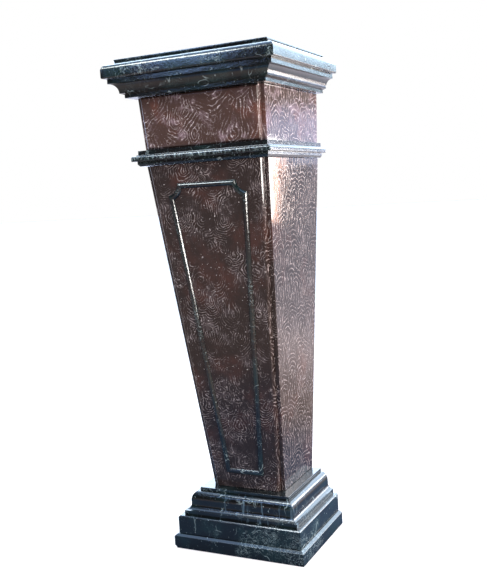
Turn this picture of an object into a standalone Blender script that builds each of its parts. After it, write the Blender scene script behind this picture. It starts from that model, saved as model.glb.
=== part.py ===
# Tapered marble pedestal: a square shaft that widens upwards between a stepped base
# and a moulded cap. Its back is one upright plane, and the mouldings return on the
# front and the two sides only. Metres, +Z up, the front faces -Y.

import math

import bmesh
import bpy

MM = 0.001
GAP = 0.3 * MM              # bed joint between one stone and the next
WELD = 0.01 * MM            # points closer than this are one point

# shaft and frieze, square in plan
SHAFT_FOOT = 180 * MM       # side of the square at the foot
SHAFT_HEAD = 290 * MM       # side of the square at the head
SHAFT_HEIGHT = 747 * MM
FRIEZE_SPREAD = 5 * MM      # how far the frieze widens at each side
FRIEZE_HEIGHT = 111.7 * MM
NOTCH_WIDTH = 9.5 * MM      # rebate down both front corners, across the front
NOTCH_DEPTH = 11 * MM       # and back from it

# stepped base, each step as its height and how far it stands out from the shaft foot
LOWER_PLINTH_HEIGHT = 32.5 * MM
LOWER_PLINTH_REACH = 72 * MM
LOWER_CHAMFER_RISE = 4.5 * MM
LOWER_CHAMFER_RUN = 7 * MM
UPPER_PLINTH_HEIGHT = 42 * MM
UPPER_PLINTH_REACH = 63 * MM
UPPER_CHAMFER = 3 * MM

# base moulding: a fillet, a hollow and a round above it
BASE_FILLET_HEIGHT = 10 * MM
BASE_FILLET_REACH = 51.5 * MM
HOLLOW_RADIUS = 12.5 * MM
ROUND_WALL = 8 * MM         # upright stretch between the hollow and the round
ROUND_RUN = 14 * MM
ROUND_RISE = 20.5 * MM
SEAT_HEIGHT = 7.5 * MM      # thin slab under the shaft
SEAT_REACH = 22.5 * MM

# neck moulding between shaft and frieze: a listel splayed in at its foot, a band,
# a low step on it and a fillet
NECK_LISTEL_HEIGHT = 10.5 * MM
NECK_LISTEL_SPLAY = 4.5 * MM    # height of its splayed foot
NECK_LISTEL_FOOT_REACH = 6.5 * MM
NECK_LISTEL_REACH = 10.5 * MM
NECK_BAND_HEIGHT = 11.5 * MM
NECK_BAND_REACH = 20 * MM
NECK_STEP_HEIGHT = 2.5 * MM
NECK_STEP_REACH = 11.5 * MM
NECK_FILLET_HEIGHT = 8.8 * MM
NECK_FILLET_REACH = 8.5 * MM

# cap moulding: a small band, a splayed step, a cavetto and a fillet
CAP_BAND_HEIGHT = 7 * MM
CAP_BAND_REACH = 15.5 * MM
CAP_STEP_RISE = 3 * MM
CAVETTO_RUN = 15.5 * MM
CAVETTO_RISE = 20 * MM
CAP_STEP_REACH = 23.5 * MM
CAP_FILLET_HEIGHT = 10.5 * MM
CAP_FILLET_STEP = 1.5 * MM

# top slab, weathered up from its rounded edge to a thin plate
SLAB_HEIGHT = 35.6 * MM
SLAB_REACH = 50 * MM
SLAB_NOSE = 12 * MM         # radius of its rounded edge
SLAB_NOSE_TURN = 62         # degrees round the edge, from upright to the weathering
PLATE_HEIGHT = 4 * MM
PLATE_INSET = 21.5 * MM     # from the edge of the slab

# raised frame on the front of the shaft
FRAME_BAND = 12 * MM        # width of the moulding
FRAME_RELIEF = 5 * MM       # how far it stands out from the face
FRAME_ROUNDING = 4 * MM     # rounds both its edges, almost to a half-round bead
FRAME_SIDE_MARGIN = 46 * MM
FRAME_TOP_MARGIN = 41 * MM
FRAME_FOOT_MARGIN = 36 * MM
FRAME_CORNER = 26 * MM      # radius of the hollowed top corners

ARC_STEPS = 8               # facets in one curve of a moulding
CORNER_STEPS = 12           # facets in a hollowed corner of the frame
ROUNDING_STEPS = 4          # facets in a rounded edge of the frame
FLAT_ANGLE = 1              # degrees, below which two facets are one flat
ARRIS_ANGLE = 60            # degrees, above which an edge is an arris
SMOOTH_ANGLE = 25           # degrees, below which neighbouring facets are shaded as one
CUTTER_OVERRUN = 20 * MM

# the frieze stands over the shaft's head
FRIEZE_FOOT = SHAFT_HEAD
FRIEZE_HEAD = FRIEZE_FOOT + 2 * FRIEZE_SPREAD

# the back of every stone lies in one plane, half the slab's depth behind the origin
SLAB_DEPTH = FRIEZE_HEAD + SLAB_REACH
BACK = SLAB_DEPTH / 2

# heights at which the stones begin
UPPER_PLINTH_Z = LOWER_PLINTH_HEIGHT + GAP
BASE_MOULDING_Z = UPPER_PLINTH_Z + UPPER_PLINTH_HEIGHT + GAP
BASE_MOULDING_HEIGHT = BASE_FILLET_HEIGHT + HOLLOW_RADIUS + ROUND_WALL + ROUND_RISE
SEAT_Z = BASE_MOULDING_Z + BASE_MOULDING_HEIGHT + GAP
SHAFT_Z = SEAT_Z + SEAT_HEIGHT + GAP
NECK_Z = SHAFT_Z + SHAFT_HEIGHT + GAP
NECK_HEIGHT = NECK_LISTEL_HEIGHT + NECK_BAND_HEIGHT + NECK_STEP_HEIGHT + NECK_FILLET_HEIGHT
FRIEZE_Z = NECK_Z + NECK_HEIGHT + GAP
CAP_Z = FRIEZE_Z + FRIEZE_HEIGHT + GAP
CAP_HEIGHT = CAP_BAND_HEIGHT + CAP_STEP_RISE + CAVETTO_RISE + CAP_FILLET_HEIGHT
SLAB_Z = CAP_Z + CAP_HEIGHT + GAP
PLATE_Z = SLAB_Z + SLAB_HEIGHT + GAP


def new_collection(name):
    collection = bpy.data.collections.new(name)
    bpy.context.scene.collection.children.link(collection)
    return collection


def new_material(name, colour, roughness):
    material = bpy.data.materials.new(name)
    material.use_nodes = True
    shader = material.node_tree.nodes["Principled BSDF"]
    shader.inputs["Base Color"].default_value = (*colour, 1)
    shader.inputs["Roughness"].default_value = roughness
    shader.inputs["Metallic"].default_value = 0
    return material


def dark_marble(name):
    return new_material(name + "_marble", (0.022, 0.032, 0.032), 0.22)


def red_marble(name):
    return new_material(name + "_marble", (0.13, 0.06, 0.06), 0.28)


def object_from(bm, name, collection):
    mesh = bpy.data.meshes.new(name)
    bm.to_mesh(mesh)
    bm.free()
    obj = bpy.data.objects.new(name, mesh)
    collection.objects.link(obj)
    return obj


def place_ring(verts, width, depth, z):
    """Move four corners to a rectangle whose rear side lies in the back plane."""
    middle = sum(v.co.y for v in verts) / len(verts)
    for v in verts:
        v.co.x = math.copysign(width / 2, v.co.x)
        v.co.y = BACK if v.co.y > middle else BACK - depth
        v.co.z = z


def stacked_block(name, rows, collection):
    """A closed block whose cross-section follows rows of (width, depth, height)."""
    bm = bmesh.new()
    bmesh.ops.create_cube(bm, size=1)
    foot = [v for v in bm.verts if v.co.z < 0]
    head = [v for v in bm.verts if v.co.z > 0]
    rings = [foot, head]
    for row, (width, depth, z) in enumerate(rows):
        if row >= len(rings):
            top = [f for f in bm.faces if all(v in rings[-1] for v in f.verts)]
            grown = bmesh.ops.extrude_face_region(bm, geom=top)["geom"]
            bmesh.ops.delete(bm, geom=top, context="FACES_ONLY")
            rings.append([g for g in grown if isinstance(g, bmesh.types.BMVert)])
        place_ring(rings[row], width, depth, z)
    bmesh.ops.recalc_face_normals(bm, faces=bm.faces)
    return object_from(bm, name, collection)


def moulded_block(name, profile, side, collection):
    """A block round a square of this side, moulded to a profile of (reach, height).

    The reach is added at the two sides and at the front, never at the back.
    """
    rows = [(side + 2 * reach, side + reach, z) for reach, z in profile]
    return stacked_block(name, rows, collection)


def arc_points(centre, run, rise, start, end):
    """Points along an ellipse about a centre, from one angle to the other in degrees."""
    points = []
    for step in range(ARC_STEPS + 1):
        angle = math.radians(start + (end - start) * step / ARC_STEPS)
        points.append((centre[0] + run * math.cos(angle), centre[1] + rise * math.sin(angle)))
    return points


def lower_plinth(collection):
    shoulder = LOWER_PLINTH_HEIGHT - LOWER_CHAMFER_RISE
    profile = [
        (LOWER_PLINTH_REACH, 0),
        (LOWER_PLINTH_REACH, shoulder),
        (LOWER_PLINTH_REACH - LOWER_CHAMFER_RUN, LOWER_PLINTH_HEIGHT),
    ]
    return moulded_block("lower_plinth", profile, SHAFT_FOOT, collection)


def upper_plinth(collection):
    top = UPPER_PLINTH_Z + UPPER_PLINTH_HEIGHT
    profile = [
        (UPPER_PLINTH_REACH, UPPER_PLINTH_Z),
        (UPPER_PLINTH_REACH, top - UPPER_CHAMFER),
        (UPPER_PLINTH_REACH - UPPER_CHAMFER, top),
    ]
    return moulded_block("upper_plinth", profile, SHAFT_FOOT, collection)


def base_moulding(collection):
    fillet_top = BASE_MOULDING_Z + BASE_FILLET_HEIGHT
    hollow_top = fillet_top + HOLLOW_RADIUS
    round_foot = hollow_top + ROUND_WALL
    wall_reach = BASE_FILLET_REACH - HOLLOW_RADIUS
    profile = [(BASE_FILLET_REACH, BASE_MOULDING_Z), (BASE_FILLET_REACH, fillet_top)]
    hollow_centre = (BASE_FILLET_REACH, hollow_top)
    profile += arc_points(hollow_centre, HOLLOW_RADIUS, HOLLOW_RADIUS, 270, 180)[1:]
    round_centre = (wall_reach - ROUND_RUN, round_foot)
    profile += arc_points(round_centre, ROUND_RUN, ROUND_RISE, 0, 90)
    return moulded_block("base_moulding", profile, SHAFT_FOOT, collection)


def shaft_seat(collection):
    profile = [(SEAT_REACH, SEAT_Z), (SEAT_REACH, SEAT_Z + SEAT_HEIGHT)]
    return moulded_block("shaft_seat_slab", profile, SHAFT_FOOT, collection)


def neck_moulding(collection):
    band_foot = NECK_Z + NECK_LISTEL_HEIGHT
    band_head = band_foot + NECK_BAND_HEIGHT
    step_head = band_head + NECK_STEP_HEIGHT
    profile = [
        (NECK_LISTEL_FOOT_REACH, NECK_Z),
        (NECK_LISTEL_REACH, NECK_Z + NECK_LISTEL_SPLAY),
        (NECK_LISTEL_REACH, band_foot),
        (NECK_BAND_REACH, band_foot),
        (NECK_BAND_REACH, band_head),
        (NECK_STEP_REACH, band_head),
        (NECK_STEP_REACH, step_head),
        (NECK_FILLET_REACH, step_head),
        (NECK_FILLET_REACH, NECK_Z + NECK_HEIGHT),
    ]
    return moulded_block("neck_moulding", profile, SHAFT_HEAD, collection)


def cap_moulding(collection):
    band_top = CAP_Z + CAP_BAND_HEIGHT
    hollow_foot = band_top + CAP_STEP_RISE
    hollow_head = hollow_foot + CAVETTO_RISE
    rim = CAP_STEP_REACH + CAVETTO_RUN
    profile = [(CAP_BAND_REACH, CAP_Z), (CAP_BAND_REACH, band_top)]
    profile += arc_points((rim, hollow_foot), CAVETTO_RUN, CAVETTO_RISE, 180, 90)
    profile += [
        (rim + CAP_FILLET_STEP, hollow_head),
        (rim + CAP_FILLET_STEP, CAP_Z + CAP_HEIGHT),
    ]
    return moulded_block("cap_moulding", profile, FRIEZE_HEAD, collection)


def top_slab(collection):
    turn = math.radians(SLAB_NOSE_TURN)
    top = SLAB_Z + SLAB_HEIGHT
    plate_reach = SLAB_REACH - PLATE_INSET
    nose_head_reach = SLAB_REACH - SLAB_NOSE * (1 - math.cos(turn))
    nose_head = top - (nose_head_reach - plate_reach) / math.tan(turn)
    nose_centre = (SLAB_REACH - SLAB_NOSE, nose_head - SLAB_NOSE * math.sin(turn))
    profile = [(SLAB_REACH, SLAB_Z)]
    profile += arc_points(nose_centre, SLAB_NOSE, SLAB_NOSE, 0, SLAB_NOSE_TURN)
    profile += [(plate_reach, top)]
    return moulded_block("top_slab", profile, FRIEZE_HEAD, collection)


def top_plate(collection):
    """The thin plate, set in from the slab's edge all round, at the back too."""
    bm = bmesh.new()
    bmesh.ops.create_cube(bm, size=1)
    for v in bm.verts:
        v.co.x *= FRIEZE_HEAD + 2 * (SLAB_REACH - PLATE_INSET)
        v.co.y *= SLAB_DEPTH - 2 * PLATE_INSET
        v.co.z = PLATE_Z + (v.co.z + 0.5) * PLATE_HEIGHT
    return object_from(bm, "top_plate", collection)


def corner_cutter(name, side, foot, head, z, height, cutters):
    """A slanting bar that follows one front corner of a tapered block."""
    bm = bmesh.new()
    bmesh.ops.create_cube(bm, size=1)
    spread = (head - foot) / height
    for v in bm.verts:
        level = z - CUTTER_OVERRUN if v.co.z < 0 else z + height + CUTTER_OVERRUN
        breadth = foot + spread * (level - z)
        inner = breadth / 2 - NOTCH_WIDTH
        outer = breadth / 2 + CUTTER_OVERRUN
        front = BACK - breadth
        v.co.x = side * (inner if v.co.x * side < 0 else outer)
        v.co.y = front + NOTCH_DEPTH if v.co.y > 0 else front - CUTTER_OVERRUN
        v.co.z = level
    bmesh.ops.recalc_face_normals(bm, faces=bm.faces)
    cutter = object_from(bm, name, cutters)
    cutter.hide_render = True
    cutter.display_type = "WIRE"
    return cutter


def tapered_block(name, foot, head, z, height, collection, cutters):
    """A square block with an upright back and a rebate down each front corner."""
    block = stacked_block(name, [(foot, foot, z), (head, head, z + height)], collection)
    for label, side in (("left", -1), ("right", 1)):
        cutter = corner_cutter(name + "_" + label + "_rebate", side, foot, head, z, height, cutters)
        cut = block.modifiers.new("Rebate " + label, "BOOLEAN")
        cut.operation = "DIFFERENCE"
        cut.solver = "EXACT"
        cut.object = cutter
    return block


def frame_outline(band, slope_length):
    """Outline on the front face, set in by a band: x across the face, y up its slope."""
    widening = (SHAFT_HEAD - SHAFT_FOOT) / 2 / slope_length
    margin = FRAME_SIDE_MARGIN + band
    foot = FRAME_FOOT_MARGIN + band
    rim = slope_length - FRAME_TOP_MARGIN

    def half_at(height, inset):
        return SHAFT_FOOT / 2 + widening * height - inset

    corner = half_at(rim, FRAME_SIDE_MARGIN)
    radius = FRAME_CORNER + band
    start = math.asin(band / radius)
    sweep = math.pi / 2 - 2 * start
    arc = []
    for step in range(CORNER_STEPS + 1):
        angle = start + sweep * step / CORNER_STEPS
        arc.append((corner - radius * math.sin(angle), rim - radius * math.cos(angle)))
    arc[0] = (half_at(arc[0][1], margin), arc[0][1])   # begins on the sloping side
    right = [(half_at(foot, margin), foot), *arc]
    return right + [(-x, y) for x, y in reversed(right)]


def round_arrises(bm):
    """Round the edges of the face that looks away from the shaft."""
    bmesh.ops.dissolve_limit(
        bm, angle_limit=math.radians(FLAT_ANGLE), verts=bm.verts, edges=bm.edges
    )
    arrises = [
        e for e in bm.edges
        if all(v.co.z > FRAME_RELIEF / 2 - WELD for v in e.verts)
        and e.calc_face_angle(0) > math.radians(ARRIS_ANGLE)
    ]
    bmesh.ops.bevel(
        bm, geom=arrises, offset=FRAME_ROUNDING, segments=ROUNDING_STEPS,
        profile=0.5, affect="EDGES",
    )


def front_frame(collection):
    """Raised frame in one piece, lying on the sloping front face."""
    lean = SHAFT_HEAD - SHAFT_FOOT
    slope_length = math.hypot(lean, SHAFT_HEIGHT)
    curve = bpy.data.curves.new("front_frame_outline", "CURVE")
    curve.dimensions = "2D"
    curve.fill_mode = "BOTH"
    curve.extrude = FRAME_RELIEF / 2
    for band in (0, FRAME_BAND):
        points = frame_outline(band, slope_length)
        spline = curve.splines.new("POLY")
        spline.points.add(len(points) - 1)
        for point, (x, y) in zip(spline.points, points):
            point.co = (x, y, 0, 1)
        spline.use_cyclic_u = True
    flat = bpy.data.objects.new("front_frame_flat", curve)
    collection.objects.link(flat)
    depsgraph = bpy.context.evaluated_depsgraph_get()
    mesh = bpy.data.meshes.new_from_object(flat.evaluated_get(depsgraph))
    bpy.data.objects.remove(flat)
    bpy.data.curves.remove(curve)
    bm = bmesh.new()
    bm.from_mesh(mesh)
    bpy.data.meshes.remove(mesh)
    bmesh.ops.remove_doubles(bm, verts=bm.verts, dist=WELD)
    bmesh.ops.recalc_face_normals(bm, faces=bm.faces)
    round_arrises(bm)
    frame = object_from(bm, "front_panel_frame", collection)
    tilt = math.atan2(lean, SHAFT_HEIGHT)
    lift = GAP + FRAME_RELIEF / 2
    front = BACK - SHAFT_FOOT
    frame.rotation_euler = (math.pi / 2 + tilt, 0, 0)
    frame.location = (0, front - lift * math.cos(tilt), SHAFT_Z - lift * math.sin(tilt))
    return frame


def shade_round(obj):
    obj.data.shade_smooth()
    obj.data.set_sharp_from_angle(angle=math.radians(SMOOTH_ANGLE))


def main():
    for obj in list(bpy.data.objects):
        bpy.data.objects.remove(obj, do_unlink=True)
    stones = new_collection("tapered_marble_pedestal")
    cutters = new_collection("cutters")
    for make in (
        lower_plinth, upper_plinth, base_moulding, shaft_seat, front_frame,
        neck_moulding, cap_moulding, top_slab, top_plate,
    ):
        stone = make(stones)
        stone.data.materials.append(dark_marble(stone.name))
        shade_round(stone)
    for name, foot, head, z, height in (
        ("shaft", SHAFT_FOOT, SHAFT_HEAD, SHAFT_Z, SHAFT_HEIGHT),
        ("frieze_block", FRIEZE_FOOT, FRIEZE_HEAD, FRIEZE_Z, FRIEZE_HEIGHT),
    ):
        stone = tapered_block(name, foot, head, z, height, stones, cutters)
        stone.data.materials.append(red_marble(stone.name))


main()
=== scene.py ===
import math

import bmesh
import bpy
from mathutils import Matrix, Vector


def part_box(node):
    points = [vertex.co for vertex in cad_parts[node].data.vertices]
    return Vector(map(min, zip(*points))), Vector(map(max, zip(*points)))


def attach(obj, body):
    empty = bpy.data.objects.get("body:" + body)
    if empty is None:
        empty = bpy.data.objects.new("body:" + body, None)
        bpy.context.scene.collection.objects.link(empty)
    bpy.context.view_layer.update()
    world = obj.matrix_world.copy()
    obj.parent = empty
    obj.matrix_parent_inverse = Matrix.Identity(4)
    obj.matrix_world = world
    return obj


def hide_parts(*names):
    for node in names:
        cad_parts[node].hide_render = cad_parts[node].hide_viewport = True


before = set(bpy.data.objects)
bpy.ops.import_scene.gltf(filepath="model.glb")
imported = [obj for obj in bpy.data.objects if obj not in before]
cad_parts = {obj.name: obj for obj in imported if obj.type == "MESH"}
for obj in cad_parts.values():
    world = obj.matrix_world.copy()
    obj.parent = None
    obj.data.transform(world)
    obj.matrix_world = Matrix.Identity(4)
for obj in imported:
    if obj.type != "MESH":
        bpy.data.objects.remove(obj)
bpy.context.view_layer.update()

# a tapered square pedestal in two marbles: red for shaft and frieze, near-black for the rest
# metres, front towards -Y, every stone's back in one upright plane

mm = 0.001
stoneFinish = {"smoothAngle": 50, "faceWeight": 100, "arrisAngle": 32, "arrisSegments": 2}
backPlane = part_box("top_slab")[1].y


# modelling helpers

def clearSelection():
    if bpy.context.object and bpy.context.object.mode != "OBJECT":
        bpy.ops.object.mode_set(mode="OBJECT")
    bpy.ops.object.select_all(action="DESELECT")


def makeActive(piece):
    clearSelection()
    piece.select_set(True)
    bpy.context.view_layer.objects.active = piece


# in edit mode, the faces that pass a test
def selectFaces(piece, test):
    bpy.ops.mesh.select_mode(type="FACE")
    bpy.ops.mesh.select_all(action="DESELECT")
    bm = bmesh.from_edit_mesh(piece.data)
    for face in bm.faces:
        face.select_set(test(face))
    bmesh.update_edit_mesh(piece.data)


def selectEdges(piece, test):
    bpy.ops.mesh.select_mode(type="EDGE")
    bpy.ops.mesh.select_all(action="DESELECT")
    bm = bmesh.from_edit_mesh(piece.data)
    for edge in bm.edges:
        edge.select_set(test(edge))
    bmesh.update_edit_mesh(piece.data)


# a block at its size and place, its rear face in the back plane
def startBlock(name, width, depth, low, high):
    clearSelection()
    bpy.ops.mesh.primitive_cube_add(size=1)
    piece = bpy.context.object
    piece.name = piece.data.name = name
    bpy.ops.object.mode_set(mode="EDIT")
    bpy.ops.mesh.select_all(action="SELECT")
    bpy.ops.transform.resize(value=(width, depth, high - low))
    bpy.ops.transform.translate(value=(0, backPlane - depth / 2, (low + high) / 2))
    return piece


# bring the selected top from one (width, depth, height) to another, its rear edge in place
def resizeTop(size, row):
    bpy.ops.transform.resize(
        value=(row[0] / size[0], row[1] / size[1], 1), center_override=(0, backPlane, row[2]))


# build a stone upwards through rows of (width, depth, height)
def stackBlock(name, rows):
    width, depth, low = rows[0]
    piece = startBlock(name, width, depth, low, rows[1][2])
    selectFaces(piece, lambda f: f.normal.z > 0.9)
    resizeTop(rows[0], rows[1])
    for size, row in zip(rows[1:], rows[2:]):
        bpy.ops.mesh.extrude_region_move(
            TRANSFORM_OT_translate={"value": (0, 0, row[2] - size[2])})
        resizeTop(size, row)
    bpy.ops.object.mode_set(mode="OBJECT")
    return piece


# a stone round a square of this side, its sides and front cut to (reach, height) points
def mouldedStone(name, profile, side):
    return stackBlock(name, [(side + 2 * reach, side + reach, z) for reach, z in profile])


def arcPoints(centre, run, rise, start, end, steps=14):
    points = []
    for step in range(steps + 1):
        angle = math.radians(start + (end - start) * step / steps)
        points.append((centre[0] + run * math.cos(angle), centre[1] + rise * math.sin(angle)))
    return points


# rub the sharp arrises down with a small bevel
def easeArrises(piece, width):
    makeActive(piece)
    ease = piece.modifiers.new("eased arrises", "BEVEL")
    ease.width = width
    ease.segments = stoneFinish["arrisSegments"]
    ease.limit_method = "ANGLE"
    ease.angle_limit = math.radians(stoneFinish["arrisAngle"])
    ease.use_clamp_overlap = True
    ease.miter_outer = "MITER_ARC"
    bpy.ops.object.modifier_apply(modifier=ease.name)


def finishStone(piece, node, material):
    makeActive(piece)
    bpy.ops.object.shade_smooth_by_angle(angle=math.radians(stoneFinish["smoothAngle"]))
    # the broad faces rule the normals, so that they stay flat between rounded arrises
    flatten = piece.modifiers.new("flat faces", "WEIGHTED_NORMAL")
    flatten.weight = stoneFinish["faceWeight"]
    flatten.keep_sharp = True
    bpy.ops.object.modifier_apply(modifier=flatten.name)
    piece.data.materials.clear()
    piece.data.materials.append(material)
    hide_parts(node)
    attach(piece, "root")
    print("stone ready:", piece.name, len(piece.data.polygons), "faces")


# subtract a cutter and throw it away
def cutAway(piece, cutter):
    makeActive(piece)
    cut = piece.modifiers.new("cut", "BOOLEAN")
    cut.operation = "DIFFERENCE"
    cut.solver = "EXACT"
    cut.object = cutter
    bpy.ops.object.modifier_apply(modifier=cut.name)
    bpy.data.objects.remove(cutter, do_unlink=True)


# node helpers

def newMaterial(name):
    material = bpy.data.materials.new(name)
    material.use_nodes = True
    nodes = material.node_tree.nodes
    nodes.clear()
    out = nodes.new("ShaderNodeOutputMaterial")
    shader = nodes.new("ShaderNodeBsdfPrincipled")
    material.node_tree.links.new(shader.outputs["BSDF"], out.inputs["Surface"])
    return material, material.node_tree, shader


def link(tree, source, target):
    tree.links.new(source, target)


def mathNode(tree, operation, first, second=None, third=None):
    node = tree.nodes.new("ShaderNodeMath")
    node.operation = operation
    for socket, value in zip(node.inputs, (first, second, third)):
        if value is None:
            continue
        if isinstance(value, (int, float)):
            socket.default_value = value
        else:
            link(tree, value, socket)
    return node.outputs[0]


def vectorNode(tree, operation, first, second):
    node = tree.nodes.new("ShaderNodeVectorMath")
    node.operation = operation
    for socket, value in zip(node.inputs, (first, second)):
        if isinstance(value, tuple):
            socket.default_value = value
        else:
            link(tree, value, socket)
    return node.outputs[0]


def noiseNode(tree, coords, scale, detail, roughness, distortion=0.0, colour=False):
    node = tree.nodes.new("ShaderNodeTexNoise")
    node.inputs["Scale"].default_value = scale
    node.inputs["Detail"].default_value = detail
    node.inputs["Roughness"].default_value = roughness
    node.inputs["Distortion"].default_value = distortion
    link(tree, coords, node.inputs["Vector"])
    return node.outputs["Color" if colour else "Fac"]


def remap(tree, value, low, high, newLow=0.0, newHigh=1.0, smooth=True):
    node = tree.nodes.new("ShaderNodeMapRange")
    node.interpolation_type = "SMOOTHSTEP" if smooth else "LINEAR"
    node.inputs["From Min"].default_value = low
    node.inputs["From Max"].default_value = high
    node.inputs["To Min"].default_value = newLow
    node.inputs["To Max"].default_value = newHigh
    link(tree, value, node.inputs["Value"])
    return node.outputs["Result"]


# noise cut to a range
def spots(tree, coords, scale, detail, roughness, low, high, newLow=0.0, newHigh=1.0):
    noise = noiseNode(tree, coords, scale, detail, roughness)
    return remap(tree, noise, low, high, newLow, newHigh)


# places of the mix node's sockets that carry colours
mixSockets = {"factor": 0, "first": 6, "second": 7, "result": 2}


def mixColour(tree, factor, first, second, blend="MIX"):
    node = tree.nodes.new("ShaderNodeMix")
    node.data_type = "RGBA"
    node.blend_type = blend
    for name, value in (("factor", factor), ("first", first), ("second", second)):
        socket = node.inputs[mixSockets[name]]
        if isinstance(value, (int, float)):
            socket.default_value = value
        elif isinstance(value, tuple):
            socket.default_value = (*value, 1)
        else:
            link(tree, value, socket)
    return node.outputs[mixSockets["result"]]


def bumpNode(tree, height, strength, distance, normal=None):
    node = tree.nodes.new("ShaderNodeBump")
    node.inputs["Strength"].default_value = strength
    node.inputs["Distance"].default_value = distance
    link(tree, height, node.inputs["Height"])
    if normal is not None:
        link(tree, normal, node.inputs["Normal"])
    return node.outputs["Normal"]


# red marble: a brown-red ground with combed columns of nested arcs, and curls between
# the arcs hang on the front and stand up as arches on the sides

shaftLook = {
    "ground": (0.0195, 0.0125, 0.0110),
    "ruddy": (0.046, 0.0190, 0.0148),
    "mauve": (0.058, 0.043, 0.043),
    "arc": (0.36, 0.295, 0.285),
    "fleck": (0.55, 0.48, 0.46),
    "roughness": 0.03,
    "specular": 0.32,
    "broadness": 0.15,
}
friezeLook = {
    "ground": (0.048, 0.026, 0.021),
    "ruddy": (0.115, 0.040, 0.027),
    "mauve": (0.185, 0.125, 0.140),
    "arc": (0.56, 0.46, 0.455),
    "fleck": (0.60, 0.50, 0.48),
    "roughness": 0.03,
    "specular": 0.32,
    "broadness": 0.85,
}

# nested arcs: cell width, how much taller than wide, how far apart, line share, how pointed
broadArcs = {
    "cell": 0.080, "tall": 1.7, "spacing": 0.0090, "width": 0.36,
    "point": 0.50, "seed": 3.14,
}
narrowArcs = {
    "cell": 0.044, "tall": 2.0, "spacing": 0.0056, "width": 0.40,
    "point": 0.10, "seed": 7.73,
}
sideArcs = {
    "cell": 0.048, "tall": 1.5, "spacing": 0.0094, "width": 0.56,
    "point": 0.0, "seed": 5.21,
}
curls = {
    "cell": 0.026, "spacing": 0.0056, "width": 0.42, "seed": 12.4, "spread": (1, 0.7, 1.3),
    "drift": 0.9, "driftReach": 1.1, "tremble": (240, 2, 0.6), "trembleTurn": 2.2,
}

# how all arcs are bent: scales and reaches in cells, turns in radians
arcShape = {
    "drift": 0.5, "driftReach": 0.7, "ripple": 2.4, "rippleReach": 0.22, "scatter": 0.85,
    "flank": 0.8, "tail": 0.22, "sway": 0.9, "swayTurn": 9.0,
    "tremble": (150, 3, 0.65), "trembleTurn": 2.6,
}

# noise of the red marble: scale, detail, roughness, then the range that is taken and given
redPattern = {
    "share": (7, 2, 0.5),
    "curling": (15, 2, 0.5, 0.52, 0.56),
    "patches": (18, 5, 0.7, 0.43, 0.60, 0.02, 1.0),
    "grain": (120, 4, 0.8, 0.42, 0.62, 0.12, 1.0),
    "ruddy": (8, 4, 0.6, 0.50, 0.72),
    "mauve": (26, 6, 0.7, 0.48, 0.66),
    "flecks": (260, 1, 0.5, 0.72, 0.79),
    "rough": (60, 4, 0.6, 0.3, 0.75),
    "swell": (14, 2, 0.5),
}
redMix = {
    "narrowFrom": 0.30, "narrowSpan": 0.40, "edge": 0.02, "curlLoss": 0.7, "sidePatches": 0.72,
    "mauveShare": (0.15, 0.85), "fleck": 0.8, "roughSpan": 0.08,
    "arcBump": (0.10, 0.0004), "swellBump": (0.08, 0.004), "sideLimit": 0.6,
}


def scaleVector(tree, vector, factor):
    node = tree.nodes.new("ShaderNodeVectorMath")
    node.operation = "SCALE"
    node.inputs["Scale"].default_value = factor
    link(tree, vector, node.inputs[0])
    return node.outputs[0]


# push coordinates about by noise, by up to half the reach
def warpCoords(tree, coords, scale, reach, detail=2):
    push = noiseNode(tree, coords, scale, detail, 0.5, colour=True)
    push = vectorNode(tree, "SUBTRACT", push, (0.5, 0.5, 0.5))
    return vectorNode(tree, "ADD", coords, scaleVector(tree, push, reach))


# 1 on the faces that look left and right, 0 on the front and back
def onSides(tree):
    split = tree.nodes.new("ShaderNodeSeparateXYZ")
    link(tree, tree.nodes.new("ShaderNodeTexCoord").outputs["Normal"], split.inputs[0])
    turned = mathNode(tree, "ABSOLUTE", split.outputs["X"])
    return mathNode(tree, "GREATER_THAN", turned, redMix["sideLimit"])


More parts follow.
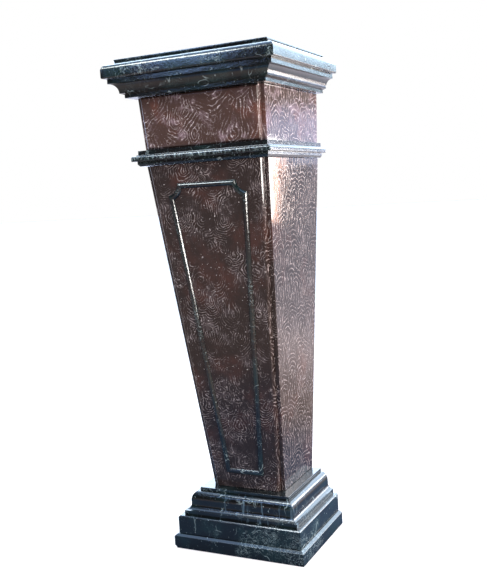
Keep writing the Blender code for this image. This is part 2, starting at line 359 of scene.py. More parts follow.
# arcs one inside the next; way is -1 where they hang and 1 where they stand up
def nestedArcs(tree, coords, arcs, way):
    cell, seed = arcs["cell"], arcs["seed"]
    shape = arcShape
    placed = warpCoords(tree, coords, shape["drift"] / cell, cell * shape["driftReach"])
    placed = warpCoords(tree, placed, shape["ripple"] / cell, cell * shape["rippleReach"], 3)
    split = tree.nodes.new("ShaderNodeSeparateXYZ")
    link(tree, placed, split.inputs[0])
    # x and y run together, so that the pattern carries on round a corner
    across = mathNode(tree, "ADD", split.outputs["X"], split.outputs["Y"])
    flat = tree.nodes.new("ShaderNodeCombineXYZ")
    link(tree, mathNode(tree, "ADD", across, seed), flat.inputs["X"])
    link(tree, mathNode(tree, "DIVIDE", split.outputs["Z"], arcs["tall"]), flat.inputs["Y"])
    cells = tree.nodes.new("ShaderNodeTexVoronoi")
    cells.voronoi_dimensions = "2D"
    cells.feature = "F1"
    cells.inputs["Scale"].default_value = 1 / cell
    cells.inputs["Randomness"].default_value = shape["scatter"]
    link(tree, flat.outputs[0], cells.inputs["Vector"])
    away = tree.nodes.new("ShaderNodeSeparateXYZ")
    offset = vectorNode(tree, "SUBTRACT", flat.outputs[0], cells.outputs["Position"])
    link(tree, offset, away.inputs[0])
    side = mathNode(tree, "ABSOLUTE", away.outputs["X"])
    rise = mathNode(tree, "MULTIPLY", away.outputs["Y"], way * arcs["tall"])
    beyond = mathNode(tree, "MAXIMUM", rise, 0.0)
    behind = mathNode(tree, "MAXIMUM", mathNode(tree, "MULTIPLY", rise, -1.0), 0.0)
    rounded = mathNode(tree, "SQRT", mathNode(
        tree, "ADD", mathNode(tree, "POWER", side, 2.0), mathNode(tree, "POWER", beyond, 2.0)))
    pointed = mathNode(tree, "MULTIPLY_ADD", beyond, shape["flank"], side)
    far = mathNode(tree, "ADD", mathNode(tree, "MULTIPLY", rounded, 1 - arcs["point"]),
                   mathNode(tree, "MULTIPLY", pointed, arcs["point"]))
    far = mathNode(tree, "MULTIPLY_ADD", behind, shape["tail"], far)
    phase = mathNode(tree, "MULTIPLY", far, 2 * math.pi / arcs["spacing"])
    sway = noiseNode(tree, coords, shape["sway"] / cell, 2, 0.5)
    phase = mathNode(tree, "MULTIPLY_ADD", sway, shape["swayTurn"], phase)
    tremble = noiseNode(tree, coords, *shape["tremble"])
    phase = mathNode(tree, "MULTIPLY_ADD", tremble, shape["trembleTurn"], phase)
    return remap(tree, mathNode(tree, "SINE", phase), 1 - arcs["width"], 1.0)


def curledLines(tree, coords, curl):
    cell, seed = curl["cell"], curl["seed"]
    placed = warpCoords(tree, coords, curl["drift"] / cell, cell * curl["driftReach"], 3)
    placed = vectorNode(tree, "ADD", placed, tuple(seed * part for part in curl["spread"]))
    cells = tree.nodes.new("ShaderNodeTexVoronoi")
    cells.feature = "F1"
    cells.inputs["Scale"].default_value = 1 / cell
    link(tree, placed, cells.inputs["Vector"])
    # the distance is counted in cells
    phase = mathNode(tree, "MULTIPLY", cells.outputs["Distance"],
                     2 * math.pi * cell / curl["spacing"])
    tremble = noiseNode(tree, coords, *curl["tremble"])
    phase = mathNode(tree, "MULTIPLY_ADD", tremble, curl["trembleTurn"], phase)
    return remap(tree, mathNode(tree, "SINE", phase), 1 - curl["width"], 1.0)


def redMarble(name, look):
    material, tree, shader = newMaterial(name)
    coords = tree.nodes.new("ShaderNodeTexCoord").outputs["Object"]
    broad = nestedArcs(tree, coords, broadArcs, -1)
    narrow = nestedArcs(tree, coords, narrowArcs, -1)
    curled = curledLines(tree, coords, curls)
    sides = onSides(tree)
    limit = redMix["narrowFrom"] + redMix["narrowSpan"] * look["broadness"]
    share = noiseNode(tree, coords, *redPattern["share"])
    share = remap(tree, share, limit - redMix["edge"], limit + redMix["edge"])
    lines = mixColour(tree, share, broad, narrow)
    curling = spots(tree, coords, *redPattern["curling"],
                    0.0, 1 - redMix["curlLoss"] * look["broadness"])
    lines = mixColour(tree, curling, lines, curled)
    lines = mixColour(tree, sides, lines, nestedArcs(tree, coords, sideArcs, 1))
    patches = mathNode(tree, "MAXIMUM", spots(tree, coords, *redPattern["patches"]),
                       mathNode(tree, "MULTIPLY", sides, redMix["sidePatches"]))
    grain = spots(tree, coords, *redPattern["grain"])
    strength = mathNode(tree, "MULTIPLY", mathNode(tree, "MULTIPLY", lines, patches), grain)
    ruddy = spots(tree, coords, *redPattern["ruddy"])
    ground = mixColour(tree, ruddy, look["ground"], look["ruddy"])
    mauve = mathNode(tree, "MULTIPLY", spots(tree, coords, *redPattern["mauve"]),
                     remap(tree, patches, 0.0, 1.0, *redMix["mauveShare"]))
    ground = mixColour(tree, mauve, ground, look["mauve"])
    colour = mixColour(tree, strength, ground, look["arc"])
    flecks = mathNode(tree, "MULTIPLY", spots(tree, coords, *redPattern["flecks"]), redMix["fleck"])
    colour = mixColour(tree, flecks, colour, look["fleck"])
    link(tree, colour, shader.inputs["Base Color"])
    rough = spots(tree, coords, *redPattern["rough"],
                  look["roughness"], look["roughness"] + redMix["roughSpan"])
    link(tree, rough, shader.inputs["Roughness"])
    shader.inputs["Specular IOR Level"].default_value = look["specular"]
    normal = bumpNode(tree, strength, *redMix["arcBump"])
    swell = noiseNode(tree, coords, *redPattern["swell"])
    normal = bumpNode(tree, swell, *redMix["swellBump"], normal)
    link(tree, normal, shader.inputs["Normal"])
    return material


# near-black green marble, mottled, with pale clouds and hair veins

darkLook = {
    "ground": (0.0050, 0.0050, 0.0056),
    "green": (0.0070, 0.0150, 0.0150),
    "mottle": (0.125, 0.165, 0.170),
    "cloud": (0.150, 0.200, 0.205),
    "vein": (0.42, 0.50, 0.50),
    "streakReflection": (0.16, 0.24, 0.30),
    "bandHighlight": (0.30, 0.36, 0.37),
    "roughness": 0.045,
    "specular": 0.62,
}

# noise of the dark marble, as for the red one; veins and tangle end with their distortion
darkPattern = {
    "green": (14, 5, 0.6, 0.42, 0.66),
    "mottle": (210, 4, 0.75, 0.56, 0.72),
    "spread": (11, 3, 0.6, 0.46, 0.62, 0.03, 0.9),
    "bandHighlight": (240, 5, 0.75, 0.47, 0.62),
    "bandHighlightPatches": (9, 2, 0.5, 0.36, 0.60, 0.25, 0.95),
    "streaks": (85, 4, 0.7, 0.54, 0.70),
    "streakPatches": (11, 1, 0.5, 0.46, 0.58),
    "clouds": (22, 8, 0.72, 0.56, 0.78),
    "cloudPatches": (7, 2, 0.5, 0.50, 0.62),
    "veins": (16, 3, 0.5, 0.8),
    "veinBreaks": (30, 2, 0.5, 0.50, 0.66),
    "tangle": (60, 4, 0.6, 1.2),
    "tanglePatches": (9.5, 2, 0.5, 0.56, 0.64),
    "flecks": (240, 1, 0.5, 0.73, 0.79),
    "rough": (45, 6, 0.75, 0.35, 0.70),
    "swell": (18, 2, 0.5),
    "pits": (230, 3, 0.75, 0.35, 0.65),
}
darkMix = {
    "warp": (9, 0.07, 3), "bandHighlightStretch": (1, 1, 0.45), "streakReflectionStretch": (1, 1, 0.10),
    "bandHighlightRise": (1 * mm, 6 * mm), "sideHighlight": -0.7, "capCalm": -0.85, "baseCalm": -0.65,
    "veinWidth": 0.010, "tangleWidth": 0.020, "vein": 0.5, "tangle": 0.45, "streakReflection": 0.5,
    "fleck": 0.55, "roughSpan": 0.10, "swellBump": (0.14, 0.004), "pitBump": (0.08, 0.0012),
}


# 1 over the height of a node's box, 0 above and below it
def within(tree, coords, node):
    split = tree.nodes.new("ShaderNodeSeparateXYZ")
    link(tree, coords, split.inputs[0])
    low, high = (corner.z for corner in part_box(node))
    return mathNode(tree, "MULTIPLY", mathNode(tree, "GREATER_THAN", split.outputs["Z"], low),
                    mathNode(tree, "LESS_THAN", split.outputs["Z"], high))


# painted highlight: pale mottle over the upper part of the neck moulding's band, in patches and
# less on the sides
def paintedBandHighlight(tree, coords):
    split = tree.nodes.new("ShaderNodeSeparateXYZ")
    link(tree, coords, split.inputs[0])
    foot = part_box("neck_moulding")[0].z + neck["listel"]
    start, full = darkMix["bandHighlightRise"]
    rising = remap(tree, split.outputs["Z"], foot + start, foot + full)
    below = mathNode(tree, "LESS_THAN", split.outputs["Z"], foot + neck["band"])
    patchy = mathNode(tree, "MULTIPLY", spots(tree, coords, *darkPattern["bandHighlightPatches"]),
                      mathNode(tree, "MULTIPLY_ADD", onSides(tree), darkMix["sideHighlight"], 1.0))
    return mathNode(tree, "MULTIPLY", mathNode(tree, "MULTIPLY", rising, below), patchy)


# painted reflection: pale blue streaks running down the base moulding
def reflectionStreaks(tree, coords):
    stretched = vectorNode(tree, "MULTIPLY", coords, darkMix["streakReflectionStretch"])
    streaks = mathNode(tree, "MULTIPLY", spots(tree, stretched, *darkPattern["streaks"]),
                       spots(tree, stretched, *darkPattern["streakPatches"]))
    return mathNode(tree, "MULTIPLY", streaks, within(tree, coords, "base_moulding"))


# thin lines where noise crosses its middle
def hairLines(tree, coords, noise, width):
    middle = mathNode(tree, "SUBTRACT", noiseNode(tree, coords, *noise), 0.5)
    return remap(tree, mathNode(tree, "ABSOLUTE", middle), width, 0.0)


# lay a colour over another by a mask, at a share of its strength
def layOver(tree, colour, mask, share, over):
    return mixColour(tree, mathNode(tree, "MULTIPLY", mask, share), colour, over)


def darkMarble():
    look, mix, noise = darkLook, darkMix, darkPattern
    material, tree, shader = newMaterial("darkMarble")
    coords = tree.nodes.new("ShaderNodeTexCoord").outputs["Object"]
    warped = warpCoords(tree, coords, *mix["warp"])
    colour = mixColour(tree, spots(tree, warped, *noise["green"]), look["ground"], look["green"])
    # the cap and base mouldings get fewer pale marks, so the cap shows the darkest ground
    plain = mathNode(tree, "MULTIPLY_ADD", within(tree, coords, "cap_moulding"),
                     mix["capCalm"], 1.0)
    plain = mathNode(tree, "MULTIPLY_ADD", within(tree, coords, "base_moulding"),
                     mix["baseCalm"], plain)
    spread = mathNode(tree, "MULTIPLY", spots(tree, coords, *noise["spread"]), plain)
    colour = layOver(tree, colour, spots(tree, coords, *noise["mottle"]), spread, look["mottle"])
    # painted highlight: pale mottle on the upper part of the neck band
    stretched = vectorNode(tree, "MULTIPLY", coords, mix["bandHighlightStretch"])
    colour = layOver(tree, colour, spots(tree, stretched, *noise["bandHighlight"]),
                     paintedBandHighlight(tree, coords), look["bandHighlight"])
    patches = mathNode(tree, "MULTIPLY", spots(tree, coords, *noise["cloudPatches"]), plain)
    colour = layOver(tree, colour, spots(tree, warped, *noise["clouds"]), patches, look["cloud"])
    veins = mathNode(tree, "MULTIPLY", hairLines(tree, warped, noise["veins"], mix["veinWidth"]),
                     spots(tree, coords, *noise["veinBreaks"]))
    colour = layOver(tree, colour, veins, mix["vein"], look["vein"])
    tangle = hairLines(tree, warped, noise["tangle"], mix["tangleWidth"])
    tangle = mathNode(tree, "MULTIPLY", tangle, spots(tree, coords, *noise["tanglePatches"]))
    tangle = mathNode(tree, "MULTIPLY", tangle, plain)
    colour = layOver(tree, colour, tangle, mix["tangle"], look["vein"])
    # painted reflection: pale blue streaks on the base moulding
    colour = layOver(tree, colour, reflectionStreaks(tree, coords), mix["streakReflection"], look["streakReflection"])
    flecks = spots(tree, coords, *noise["flecks"])
    colour = layOver(tree, colour, flecks, mix["fleck"], look["vein"])
    link(tree, colour, shader.inputs["Base Color"])
    rough = spots(tree, coords, *noise["rough"],
                  look["roughness"], look["roughness"] + mix["roughSpan"])
    link(tree, rough, shader.inputs["Roughness"])
    shader.inputs["Specular IOR Level"].default_value = look["specular"]
    normal = bumpNode(tree, noiseNode(tree, coords, *noise["swell"]), *mix["swellBump"])
    normal = bumpNode(tree, spots(tree, coords, *noise["pits"]), *mix["pitBump"], normal)
    link(tree, normal, shader.inputs["Normal"])
    return material


shaftLow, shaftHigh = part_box("shaft")
shaftFoot = 180 * mm
shaftHead = shaftHigh.x - shaftLow.x
friezeLow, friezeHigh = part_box("frieze_block")
friezeHead = friezeHigh.x - friezeLow.x


# how far a node stands out from a square of this side, and where it starts and ends
def reachOf(node, side):
    low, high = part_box(node)
    return (high.x - low.x - side) / 2, low.z, high.z


# stepped base

lowerPlinth = {
    "chamferRise": 4.5 * mm, "chamferRun": 7 * mm, "arris": 1.0 * mm,
    "chip": 11 * mm, "chipSet": 3 * mm, "chipTurn": (0.3, 0.7, 0.2),
}


# knock a faceted flake off a corner
def chipCorner(piece, corner, radius, turn):
    clearSelection()
    bpy.ops.mesh.primitive_ico_sphere_add(subdivisions=2, radius=radius, location=corner)
    flake = bpy.context.object
    flake.rotation_euler = turn
    cutAway(piece, flake)


def buildLowerPlinth():
    reach, low, high = reachOf("lower_plinth", shaftFoot)
    size = lowerPlinth
    piece = mouldedStone("lowerPlinth", [
        (reach, low), (reach, high - size["chamferRise"]), (reach - size["chamferRun"], high),
    ], shaftFoot)
    easeArrises(piece, size["arris"])
    outward = size["chipSet"]
    corner = (-shaftFoot / 2 - reach - outward,
              backPlane - shaftFoot - reach - outward, low - outward)
    chipCorner(piece, corner, size["chip"], size["chipTurn"])
    finishStone(piece, "lower_plinth", darkStone)


upperPlinth = {"chamfer": 3 * mm, "arris": 0.8 * mm}


def buildUpperPlinth():
    reach, low, high = reachOf("upper_plinth", shaftFoot)
    size = upperPlinth
    piece = mouldedStone("upperPlinth", [
        (reach, low), (reach, high - size["chamfer"]), (reach - size["chamfer"], high),
    ], shaftFoot)
    easeArrises(piece, size["arris"])
    finishStone(piece, "upper_plinth", darkStone)


baseMoulding = {
    "fillet": 10 * mm, "hollow": 12.5 * mm, "wall": 8 * mm,
    "roundRun": 14 * mm, "roundRise": 20.5 * mm, "arris": 0.7 * mm,
}


def buildBaseMoulding():
    reach, low, high = reachOf("base_moulding", shaftFoot)
    size = baseMoulding
    hollowTop = low + size["fillet"] + size["hollow"]
    roundFoot = hollowTop + size["wall"]
    profile = [(reach, low), (reach, low + size["fillet"])]
    profile += arcPoints((reach, hollowTop), size["hollow"], size["hollow"], 270, 180)[1:]
    roundCentre = (reach - size["hollow"] - size["roundRun"], roundFoot)
    profile += arcPoints(roundCentre, size["roundRun"], size["roundRise"], 0, 90)
    piece = mouldedStone("baseMoulding", profile, shaftFoot)
    easeArrises(piece, size["arris"])
    finishStone(piece, "base_moulding", darkStone)


seatSlab = {"arris": 0.8 * mm}


def buildSeatSlab():
    reach, low, high = reachOf("shaft_seat_slab", shaftFoot)
    piece = mouldedStone("shaftSeatSlab", [(reach, low), (reach, high)], shaftFoot)
    easeArrises(piece, seatSlab["arris"])
    finishStone(piece, "shaft_seat_slab", darkStone)


# shaft and frieze, with a square rebate down both front corners

rebate = {
    "width": 9.5 * mm, "depth": 11 * mm, "overrun": 20 * mm,
    "splay": 5 * mm, "splaySegments": 4, "flank": 0.32, "arris": 0.9 * mm,
}


# a bar that leans along one front corner, past both ends of the stone
def rebateCutter(side, foot, head, low, high):
    size = rebate
    spread = (head - foot) / (high - low)
    start, end = low - size["overrun"], high + size["overrun"]
    footSide = foot + spread * (start - low)
    headSide = foot + spread * (end - low)
    width = size["width"] + size["overrun"]
    depth = size["depth"] + size["overrun"]
    x = side * (footSide / 2 - size["width"] + width / 2)
    y = backPlane - footSide + size["depth"] - depth / 2
    clearSelection()
    bpy.ops.mesh.primitive_plane_add(size=1)
    cutter = bpy.context.object
    bpy.ops.object.mode_set(mode="EDIT")
    bpy.ops.mesh.select_all(action="SELECT")
    bpy.ops.transform.resize(value=(width, depth, 1))
    bpy.ops.transform.translate(value=(x, y, start))
    lean = (side * (headSide - footSide) / 2, footSide - headSide, end - start)
    bpy.ops.mesh.extrude_region_move(TRANSFORM_OT_translate={"value": lean})
    bpy.ops.mesh.select_all(action="SELECT")
    bpy.ops.mesh.normals_make_consistent(inside=False)
    bpy.ops.object.mode_set(mode="OBJECT")
    return cutter


# take the arris between the front face and each rebate's wall back to a splay
def splayRebates(piece, foot, head, low, high):
    def alongWall(edge):
        for vertex in edge.verts:
            side = foot + (head - foot) * (vertex.co.z - low) / (high - low)
            offWall = abs(abs(vertex.co.x) - (side / 2 - rebate["width"]))
            offFront = abs(vertex.co.y - (backPlane - side))
            if max(offWall, offFront) > 0.1 * mm:
                return False
        return edge.calc_length() > (high - low) / 2

    makeActive(piece)
    bpy.ops.object.mode_set(mode="EDIT")
    selectEdges(piece, alongWall)
    bpy.ops.mesh.bevel(offset=rebate["splay"], segments=rebate["splaySegments"],
                       profile=rebate["flank"], affect="EDGES")
    bpy.ops.object.mode_set(mode="OBJECT")


def buildTapered(name, node, foot, head, material):
    low, high = (corner.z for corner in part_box(node))
    piece = stackBlock(name, [(foot, foot, low), (head, head, high)])
    for side in (-1, 1):
        cutAway(piece, rebateCutter(side, foot, head, low, high))
    splayRebates(piece, foot, head, low, high)
    easeArrises(piece, rebate["arris"])
    finishStone(piece, node, material)


# raised frame on the sloping front

panelFrame = {
    "band": 12 * mm, "relief": 5 * mm, "sideMargin": 46 * mm, "topMargin": 41 * mm,
    "footMargin": 36 * mm, "corner": 26 * mm, "cornerSides": 96, "rounding": 4.6 * mm,
    "roundingSegments": 6, "flank": 0.32, "gap": 0.3 * mm,
}


# a tapered plate with hollowed upper corners, lying flat: x across, y up the slope
def framePlate(name, band, thickness):
    size = panelFrame
    lean = shaftHead - shaftFoot
    slope = math.hypot(lean, shaftHigh.z - shaftLow.z)
    widening = lean / 2 / slope
    foot = size["footMargin"] + band
    rim = slope - size["topMargin"]
    top = rim - band
    footHalf = shaftFoot / 2 + widening * foot - size["sideMargin"] - band
    topHalf = shaftFoot / 2 + widening * top - size["sideMargin"] - band
    clearSelection()
    bpy.ops.mesh.primitive_plane_add(size=1)
    plate = bpy.context.object
    plate.name = plate.data.name = name
    bpy.ops.object.mode_set(mode="EDIT")
    bpy.ops.mesh.select_all(action="SELECT")
    bpy.ops.transform.resize(value=(2 * footHalf, top - foot, 1))
    bpy.ops.transform.translate(value=(0, (top + foot) / 2, -thickness / 2))
    selectEdges(plate, lambda e: all(v.co.y > (top + foot) / 2 for v in e.verts))
    bpy.ops.transform.resize(value=(topHalf / footHalf, 1, 1), center_override=(0, top, 0))
    bpy.ops.mesh.select_all(action="SELECT")
    bpy.ops.mesh.extrude_region_move(TRANSFORM_OT_translate={"value": (0, 0, thickness)})
    bpy.ops.mesh.select_all(action="SELECT")
    bpy.ops.mesh.normals_make_consistent(inside=False)
    bpy.ops.object.mode_set(mode="OBJECT")
    cornerHalf = shaftFoot / 2 + widening * rim - size["sideMargin"]
    for side in (-1, 1):
        clearSelection()
        bpy.ops.mesh.primitive_cylinder_add(
            vertices=size["cornerSides"], radius=size["corner"] + band, depth=3 * thickness,
            location=(side * cornerHalf, rim, 0))
        cutAway(plate, bpy.context.object)
    return plate


def buildPanelFrame():
    size = panelFrame
    frameRing = framePlate("frontPanelFrame", 0, size["relief"])
    opening = framePlate("opening", size["band"], 3 * size["relief"])
    cutAway(frameRing, opening)
    makeActive(frameRing)
    bpy.ops.object.mode_set(mode="EDIT")
    front = size["relief"] / 2 - 0.01 * mm
    selectEdges(frameRing, lambda e: all(v.co.z > front for v in e.verts)
                and e.calc_face_angle(0) > math.radians(60))
    bpy.ops.mesh.bevel(offset=size["rounding"], segments=size["roundingSegments"],
                       profile=size["flank"], affect="EDGES")
    bpy.ops.object.mode_set(mode="OBJECT")
    lean = shaftHead - shaftFoot
    tilt = math.atan2(lean, shaftHigh.z - shaftLow.z)
    lift = size["gap"] + size["relief"] / 2
    frameRing.rotation_euler = (math.pi / 2 + tilt, 0, 0)
    frameRing.location = (
        0, backPlane - shaftFoot - lift * math.cos(tilt), shaftLow.z - lift * math.sin(tilt))
    makeActive(frameRing)
    bpy.ops.object.transform_apply(location=True, rotation=True, scale=True)
    finishStone(frameRing, "front_panel_frame", darkStone)


# neck moulding: a listel splayed in at its foot, a band, a low rounded step and a fillet

neck = {
    "listel": 10.5 * mm, "splay": 4.5 * mm, "listelFoot": 6.5 * mm, "listelReach": 10.5 * mm,
    "band": 11.5 * mm, "step": 2.5 * mm, "stepReach": 11.5 * mm, "filletReach": 8.5 * mm,
    "rounding": 4.5 * mm, "lowerRounding": 2 * mm, "stepRounding": 1.8 * mm, "arris": 0.8 * mm,
}


def buildNeck():
    reach, low, high = reachOf("neck_moulding", shaftHead)
    size = neck
    bandFoot = low + size["listel"]
    bandHead = bandFoot + size["band"]
    stepHead = bandHead + size["step"]
    upper, lower, small = size["rounding"], size["lowerRounding"], size["stepRounding"]
    profile = [(size["listelFoot"], low), (size["listelReach"], low + size["splay"]),
               (size["listelReach"], bandFoot)]
    profile += arcPoints((reach - lower, bandFoot + lower), lower, lower, -90, 0, 4)
    profile += arcPoints((reach - upper, bandHead - upper), upper, upper, 0, 90, 10)
    profile += [(size["stepReach"], bandHead)]
    profile += arcPoints((size["stepReach"] - small, stepHead - small), small, small, 0, 90, 5)
    profile += [(size["filletReach"], stepHead), (size["filletReach"], high)]
    piece = mouldedStone("neckMoulding", profile, shaftHead)
    easeArrises(piece, size["arris"])
    finishStone(piece, "neck_moulding", darkStone)


# cap moulding, top slab and plate

capMoulding = {
    "band": 7 * mm, "bandReach": 15.5 * mm, "step": 3 * mm, "stepReach": 23.5 * mm,
    "cavettoRun": 15.5 * mm, "cavettoRise": 20 * mm, "arris": 0.7 * mm,
}


def buildCapMoulding():
    reach, low, high = reachOf("cap_moulding", friezeHead)
    size = capMoulding
    hollowFoot = low + size["band"] + size["step"]
    hollowHead = hollowFoot + size["cavettoRise"]
    rim = size["stepReach"] + size["cavettoRun"]
    profile = [(size["bandReach"], low), (size["bandReach"], low + size["band"])]
    profile += arcPoints((rim, hollowFoot), size["cavettoRun"], size["cavettoRise"], 180, 90)
    profile += [(reach, hollowHead), (reach, high)]
    piece = mouldedStone("capMoulding", profile, friezeHead)
    easeArrises(piece, size["arris"])
    finishStone(piece, "cap_moulding", darkStone)


topSlab = {
    "nose": 12 * mm, "turn": 62, "plateInset": 21.5 * mm, "foot": 3 * mm, "arris": 0.8 * mm,
}


# upright, rounded over, then weathered up in a plain slope to the plate
def buildTopSlab():
    reach, low, high = reachOf("top_slab", friezeHead)
    size = topSlab
    nose, turn, foot = size["nose"], math.radians(size["turn"]), size["foot"]
    noseHeadReach = reach - nose * (1 - math.cos(turn))
    noseHead = high - (noseHeadReach - reach + size["plateInset"]) / math.tan(turn)
    profile = arcPoints((reach - foot, low + foot), foot, foot, -90, 0, 4)
    noseCentre = (reach - nose, noseHead - nose * math.sin(turn))
    profile += arcPoints(noseCentre, nose, nose, 0, size["turn"])
    profile += [(reach - size["plateInset"], high)]
    piece = mouldedStone("topSlab", profile, friezeHead)
    easeArrises(piece, size["arris"])
    finishStone(piece, "top_slab", darkStone)


topPlate = {"arris": 0.8 * mm}


def buildTopPlate():
    low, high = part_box("top_plate")
    clearSelection()
    bpy.ops.mesh.primitive_cube_add(size=1)
    piece = bpy.context.object
    piece.name = piece.data.name = "topPlate"
    bpy.ops.object.mode_set(mode="EDIT")
    bpy.ops.mesh.select_all(action="SELECT")
    bpy.ops.transform.resize(value=tuple(high - low))
    bpy.ops.transform.translate(value=tuple((low + high) / 2))
    bpy.ops.object.mode_set(mode="OBJECT")
    easeArrises(piece, topPlate["arris"])
    finishStone(piece, "top_plate", darkStone)


darkStone = darkMarble()
shaftStone = redMarble("redMarbleShaft", shaftLook)
friezeStone = redMarble("redMarbleFrieze", friezeLook)
print("marbles ready")

buildLowerPlinth()
buildUpperPlinth()
buildBaseMoulding()
buildSeatSlab()
buildTapered("shaft", "shaft", shaftFoot, shaftHead, shaftStone)
buildPanelFrame()
buildNeck()
buildTapered("friezeBlock", "frieze_block", shaftHead, friezeHead, friezeStone)
buildCapMoulding()
buildTopSlab()
buildTopPlate()


# floor, light and camera

studio = {
    "floor": (1.0, 0.86, 0.77),
    "nearBounce": (0.085, 0.13, 0.195),
    "farBounce": (0.36, 0.245, 0.19),
    "rearBounce": (0.90, 0.68, 0.60),
    "front": (0.05, 0.05, 0.05),
    "behind": (4.6, 5.8, 7.2),
    "overhead": (1.4, 2.1, 3.3),
    "dimmed": 0.66,
    "floorSize": 60, "floorRough": 0.9, "floorSpecular": 0.1,
    "farFrom": (0.5, 1.1), "rearFrom": (0.9, 1.9),
    "behindFrom": (0.15, 0.55), "overheadFrom": (0.70, 0.92), "skyRange": (-0.1, 0.3),
}


# pale to the camera, and darker in the light that it throws back on the stone
def buildFloor():
    clearSelection()
    bpy.ops.mesh.primitive_plane_add(size=studio["floorSize"])
    floor = bpy.context.object
    floor.name = floor.data.name = "studioFloor"
    material, tree, shader = newMaterial("paleFloor")
    rays = tree.nodes.new("ShaderNodeLightPath")
    seen = rays.outputs["Is Camera Ray"]
    coords = tree.nodes.new("ShaderNodeTexCoord").outputs["Object"]
    away = tree.nodes.new("ShaderNodeVectorMath")
    away.operation = "LENGTH"
    link(tree, coords, away.inputs[0])
    bounce = mixColour(tree, remap(tree, away.outputs["Value"], *studio["farFrom"]),
                       studio["nearBounce"], studio["farBounce"])
    split = tree.nodes.new("ShaderNodeSeparateXYZ")
    link(tree, coords, split.inputs[0])
    bounce = mixColour(tree, remap(tree, split.outputs["Y"], *studio["rearFrom"]), bounce,
                       studio["rearBounce"])
    link(tree, mixColour(tree, seen, bounce, studio["floor"]), shader.inputs["Base Color"])
    shader.inputs["Roughness"].default_value = studio["floorRough"]
    shader.inputs["Specular IOR Level"].default_value = studio["floorSpecular"]
    floor.data.materials.append(material)


# a softbox; its power follows from how bright its face is
def aimLight(name, place, target, width, height, radiance, colour, mirrored):
    light = bpy.data.lights.new(name, "AREA")
    light.shape = "RECTANGLE"
    light.size, light.size_y = width, height
    light.energy = radiance * math.pi * width * height
    light.color = colour
    lamp = bpy.data.objects.new(name, light)
    lamp.location = place
    lamp.rotation_euler = (Vector(target) - Vector(place)).to_track_quat("-Z", "Y").to_euler()
    lamp.visible_camera = False
    lamp.visible_glossy = mirrored
    bpy.context.scene.collection.objects.link(lamp)


# place, target, width, height, how bright its face is, colour, and whether the polish mirrors it
lights = {
    "cornerCard": ((1.37, 2.0, 0.75), (0.145, -0.1, 0.80), 0.58, 0.46, 16,
        (1.0, 0.94, 0.87), True),
    "cornerGlow": ((1.045, 2.0, 0.70), (0.145, -0.1, 0.75), 0.04, 0.36, 9,
        (1.0, 0.52, 0.36), True),
    "rightStrip": ((1.36, -0.82, 0.44), (0, -0.1, 0.70), 0.5, 0.18, 75,
        (1.0, 0.95, 0.90), True),
    "upperStrip": ((1.36, -0.82, 0.95), (0, -0.1, 0.85), 0.4, 0.4, 12,
        (1.0, 0.95, 0.90), True),
    "sideBox": ((2.7, 0.7, 1.1), (0.1, 0, 0.7), 1.4, 2.0, 9,
        (1.0, 0.94, 0.90), True),
    "frontSky": ((-1.2, -2.2, 2.5), (0, 0, 0.8), 2.0, 2.2, 4.6,
        (0.78, 0.86, 0.95), False),
    "leftCard": ((-0.88, -1.66, 1.60), (0.03, -0.17, 1.08), 0.28, 0.40, 14,
        (0.36, 0.56, 1.0), True),
    "neckCard": ((-0.50, -0.72, 1.72), (0.02, -0.17, 0.85), 0.50, 0.28, 26,
        (0.90, 0.98, 1.0), True),
}


def buildLights():
    for name, row in lights.items():
        aimLight(name, *row)


# share of the sky behind that shows at each height, given by the upward part of the direction
skyline = [
    (-0.06, (0.20, 0.15, 0.13)),
    (-0.02, (0.44, 0.40, 0.44)),
    (0.045, (0.46, 0.43, 0.50)),
    (0.070, (0.13, 0.10, 0.08)),
    (0.120, (0.13, 0.10, 0.08)),
    (0.145, (0.95, 1.0, 1.0)),
    (0.25, (1.0, 1.0, 1.0)),
]


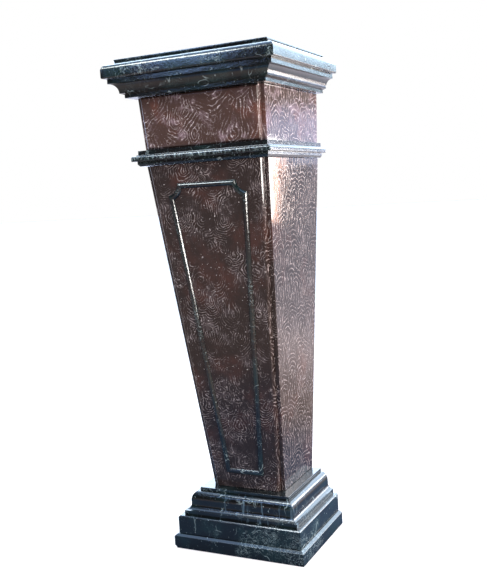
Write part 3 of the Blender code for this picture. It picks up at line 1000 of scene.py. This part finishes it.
# pale to the camera; to the stone a bright sky behind, blue overhead, and dark in front
def buildWorld():
    world = bpy.data.worlds.new("studioWorld")
    bpy.context.scene.world = world
    world.use_nodes = True
    tree = world.node_tree
    tree.nodes.clear()
    out = tree.nodes.new("ShaderNodeOutputWorld")
    seen = tree.nodes.new("ShaderNodeBackground")
    seen.inputs["Color"].default_value = (1, 1, 1, 1)
    direction = tree.nodes.new("ShaderNodeTexCoord").outputs["Generated"]
    split = tree.nodes.new("ShaderNodeSeparateXYZ")
    link(tree, direction, split.inputs[0])
    behind = remap(tree, split.outputs["Y"], *studio["behindFrom"])
    overhead = remap(tree, split.outputs["Z"], *studio["overheadFrom"])
    skyFoot, skyHead = studio["skyRange"]
    ramp = tree.nodes.new("ShaderNodeValToRGB")
    height = remap(tree, split.outputs["Z"], skyFoot, skyHead, smooth=False)
    link(tree, height, ramp.inputs["Fac"])
    stops = ramp.color_ramp.elements
    for height, _ in skyline[1:-1]:
        stops.new((height - skyFoot) / (skyHead - skyFoot))
    for stop, (height, share) in zip(stops, skyline):
        stop.position = (height - skyFoot) / (skyHead - skyFoot)
        stop.color = (*share, 1)
    glow = mixColour(tree, 1.0, ramp.outputs["Color"], studio["behind"], "MULTIPLY")
    sky = mixColour(tree, behind, studio["front"], glow)
    sky = mixColour(tree, overhead, sky, studio["overhead"])
    cast = tree.nodes.new("ShaderNodeBackground")
    link(tree, sky, cast.inputs["Color"])
    rays = tree.nodes.new("ShaderNodeLightPath")
    # dimmed where it only lights the stone, at its full strength where the polish mirrors it
    link(tree, mathNode(tree, "MULTIPLY_ADD", rays.outputs["Is Glossy Ray"],
                        1 - studio["dimmed"], studio["dimmed"]), cast.inputs["Strength"])
    choose = tree.nodes.new("ShaderNodeMixShader")
    link(tree, rays.outputs["Is Camera Ray"], choose.inputs["Fac"])
    link(tree, cast.outputs[0], choose.inputs[1])
    link(tree, seen.outputs[0], choose.inputs[2])
    link(tree, choose.outputs[0], out.inputs["Surface"])


view = {
    "place": (0.8450, -1.6567, 0.8126),
    "heading": 26.486, "down": 6.313, "roll": 3.513,
    "focalPixels": 831.1, "imageHeight": 569, "sensor": 36.0, "clip": (0.05, 50),
}


def buildCamera():
    data = bpy.data.cameras.new("photoCamera")
    data.sensor_width = view["sensor"]
    data.lens = view["focalPixels"] * view["sensor"] / view["imageHeight"]
    data.clip_start, data.clip_end = view["clip"]
    camera = bpy.data.objects.new("photoCamera", data)
    turn = (Matrix.Rotation(math.radians(view["heading"]), 4, "Z")
            @ Matrix.Rotation(math.radians(90 - view["down"]), 4, "X")
            @ Matrix.Rotation(math.radians(-view["roll"]), 4, "Z"))
    camera.matrix_world = Matrix.Translation(view["place"]) @ turn
    bpy.context.scene.collection.objects.link(camera)
    bpy.context.scene.camera = camera


buildFloor()
buildLights()
buildWorld()
buildCamera()
bpy.context.scene.view_settings.view_transform = "Standard"
print("studio ready")
